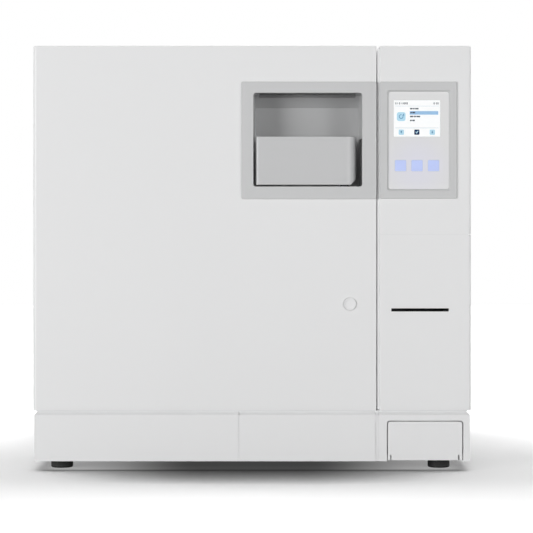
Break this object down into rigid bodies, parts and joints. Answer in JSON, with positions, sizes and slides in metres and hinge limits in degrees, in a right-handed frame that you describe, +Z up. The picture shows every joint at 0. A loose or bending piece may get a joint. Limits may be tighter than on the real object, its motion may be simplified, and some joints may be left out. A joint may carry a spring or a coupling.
{
  "type": "benchtop autoclave",
  "caption": "Benchtop steam steriliser: white box with a deep side-hinged door, recessed pull handle, control column with screen, keys and printer slot, and a plinth on rubber feet.",
  "frame": {"origin": "centre of the footprint on the bench surface", "axes": "+X to the user's right, +Y to the rear (the door faces -Y), +Z up"},
  "size_m": [0.51, 0.59, 0.498],
  "materials": {
    "base_pan": "satin off-white powder coat",
    "outer_cover": "satin off-white powder coat",
    "rear_panel": "satin off-white powder coat",
    "front_frame": "satin off-white powder coat",
    "skirt_left": "satin off-white moulded plastic",
    "skirt_centre": "satin off-white moulded plastic",
    "service_bay": "satin off-white moulded plastic",
    "rubber_feet": "matt black rubber",
    "printer_bay": "satin off-white moulded plastic",
    "column_fascia": "satin off-white moulded plastic",
    "control_bezel": "satin light grey plastic",
    "control_window": "milky translucent panel, glossy",
    "display_module": "lit colour screen behind glass",
    "touch_keys": "lavender lit light guide",
    "control_board": "green solder resist with components",
    "printer_mechanism": "black plastic",
    "main_switch_frame": "black plastic",
    "drain_couplings": "zinc plated steel",
    "chamber_vessel": "brushed stainless steel",
    "chamber_flange": "brushed stainless steel",
    "insulation_blanket": "glass-fibre blanket",
    "heating_band": "foil-faced heater band",
    "tray_rack": "brushed stainless steel",
    "instrument_trays": "brushed stainless steel",
    "steam_generator": "brushed stainless steel",
    "vacuum_pump": "dark grey paint",
    "condenser": "aluminium",
    "fan_frame": "black plastic",
    "water_tank": "natural polypropylene",
    "valve_block": "machined brass",
    "safety_valve": "machined brass",
    "power_board": "green solder resist with components",
    "mains_inlet": "black plastic",
    "pipework": "brushed stainless steel",
    "hinge_arms": "zinc plated steel",
    "latch_keeper": "zinc plated steel",
    "lock_solenoid": "zinc plated steel",
    "rear_bumpers": "matt black rubber",
    "cover_screws": "zinc plated steel",
    "door_shell": "satin off-white moulded plastic",
    "door_liner": "brushed stainless steel",
    "handle_bezel": "satin light grey plastic",
    "handle_cup": "satin light grey plastic",
    "pressure_plate": "brushed stainless steel",
    "door_gasket": "translucent white silicone",
    "door_crossbar": "zinc plated steel",
    "hinge_leaves": "zinc plated steel",
    "handle_lever": "satin light grey plastic",
    "handle_shaft": "zinc plated steel",
    "latch_bar": "zinc plated steel",
    "safety_bolt": "brushed stainless steel",
    "release_plug": "satin off-white moulded plastic",
    "service_flap": "satin off-white moulded plastic",
    "main_switch_rocker": "black plastic",
    "printer_door": "satin off-white moulded plastic",
    "tear_bar": "brushed stainless steel",
    "platen_roller": "matt black rubber",
    "paper_roll": "white thermal paper",
    "fan_rotor": "black plastic",
    "tank_lid": "satin off-white moulded plastic"
  },
  "bodies": {
    "cabinet": {"base_pan": "base_pan", "outer_cover": "outer_cover", "rear_panel": "rear_panel", "front_frame": "front_frame", "skirt_left": "skirt_left", "skirt_centre": "skirt_centre", "service_bay": "service_bay", "rubber_feet": "rubber_feet", "printer_bay": "printer_bay", "column_fascia": "column_fascia", "control_bezel": "control_bezel", "control_window": "control_window", "display_module": "display_module", "touch_keys": "touch_keys", "control_board": "control_board", "printer_mechanism": "printer_mechanism", "main_switch_frame": "main_switch_frame", "drain_couplings": "drain_couplings", "chamber_vessel": "chamber_vessel", "chamber_flange": "chamber_flange", "insulation_blanket": "insulation_blanket", "heating_band": "heating_band", "tray_rack": "tray_rack", "instrument_trays": "instrument_trays", "steam_generator": "steam_generator", "vacuum_pump": "vacuum_pump", "condenser": "condenser", "fan_frame": "fan_frame", "water_tank": "water_tank", "valve_block": "valve_block", "safety_valve": "safety_valve", "power_board": "power_board", "mains_inlet": "mains_inlet", "pipework": "pipework", "hinge_arms": "hinge_arms", "latch_keeper": "latch_keeper", "lock_solenoid": "lock_solenoid", "rear_bumpers": "rear_bumpers", "cover_screws": "cover_screws"},
    "door": {"door_shell": "door_shell", "door_liner": "door_liner", "handle_bezel": "handle_bezel", "handle_cup": "handle_cup", "pressure_plate": "pressure_plate", "door_gasket": "door_gasket", "door_crossbar": "door_crossbar", "hinge_leaves": "hinge_leaves"},
    "handle": {"handle_lever": "handle_lever", "handle_shaft": "handle_shaft"},
    "latch": {"latch_bar": "latch_bar"},
    "safety_bolt": {"safety_bolt": "safety_bolt"},
    "release_plug": {"release_plug": "release_plug"},
    "flap": {"service_flap": "service_flap"},
    "rocker": {"main_switch_rocker": "main_switch_rocker"},
    "printer_door": {"printer_door": "printer_door", "tear_bar": "tear_bar"},
    "platen": {"platen_roller": "platen_roller"},
    "paper": {"paper_roll": "paper_roll"},
    "fan": {"fan_rotor": "fan_rotor"},
    "tank_lid": {"tank_lid": "tank_lid"}
  },
  "joints": [
    {"name": "door_hinge", "type": "hinge", "parent": "cabinet", "child": "door", "pos_m": [-0.246, -0.222, 0.26], "axis": [0, 0, -1], "range_deg": [0, 100]},
    {"name": "handle_pull", "type": "hinge", "parent": "door", "child": "handle", "pos_m": [0.1081, -0.2796, 0.36], "axis": [0, 0, 1], "range_deg": [0, 50], "stiffness_Nm_per_rad": 0.3, "springref_deg": -20.05},
    {"name": "latch_slide", "type": "slide", "parent": "door", "child": "latch", "axis": [-1, 0, 0], "range_m": [0, 0.006]},
    {"name": "safety_bolt_slide", "type": "slide", "parent": "cabinet", "child": "safety_bolt", "axis": [-1, 0, 0], "range_m": [0, 0.012], "stiffness_N_per_m": 150, "springref_m": -0.008},
    {"name": "release_pull", "type": "slide", "parent": "door", "child": "release_plug", "axis": [0, -1, 0], "range_m": [0, 0.02]},
    {"name": "flap_hinge", "type": "hinge", "parent": "cabinet", "child": "flap", "pos_m": [0.2015, -0.2895, 0.015], "axis": [1, 0, 0], "range_deg": [0, 90]},
    {"name": "rocker_tilt", "type": "hinge", "parent": "cabinet", "child": "rocker", "pos_m": [0.225, -0.232, 0.036], "axis": [-1, 0, 0], "range_deg": [0, 16]},
    {"name": "printer_door_hinge", "type": "hinge", "parent": "cabinet", "child": "printer_door", "pos_m": [0.2522, -0.275, 0.1725], "axis": [0, 0, 1], "range_deg": [0, 100]},
    {"name": "paper_spin", "type": "hinge", "parent": "cabinet", "child": "paper", "pos_m": [0.1955, -0.24, 0.15], "axis": [1, 0, 0], "continuous": true},
    {"name": "platen_spin", "type": "hinge", "parent": "cabinet", "child": "platen", "pos_m": [0.1955, -0.272, 0.176], "axis": [1, 0, 0], "continuous": true},
    {"name": "fan_spin", "type": "hinge", "parent": "cabinet", "child": "fan", "pos_m": [0.18, 0.27, 0.26], "axis": [0, 1, 0], "continuous": true},
    {"name": "lid_lift", "type": "slide", "parent": "cabinet", "child": "tank_lid", "axis": [0, 0, 1], "range_m": [0, 0.08]}
  ],
  "couplings": [
    {"joint": "latch_slide", "follows": "handle_pull", "m_per_rad": 0.006142},
    {"joint": "platen_spin", "follows": "paper_spin", "ratio": 3.3333}
  ]
}
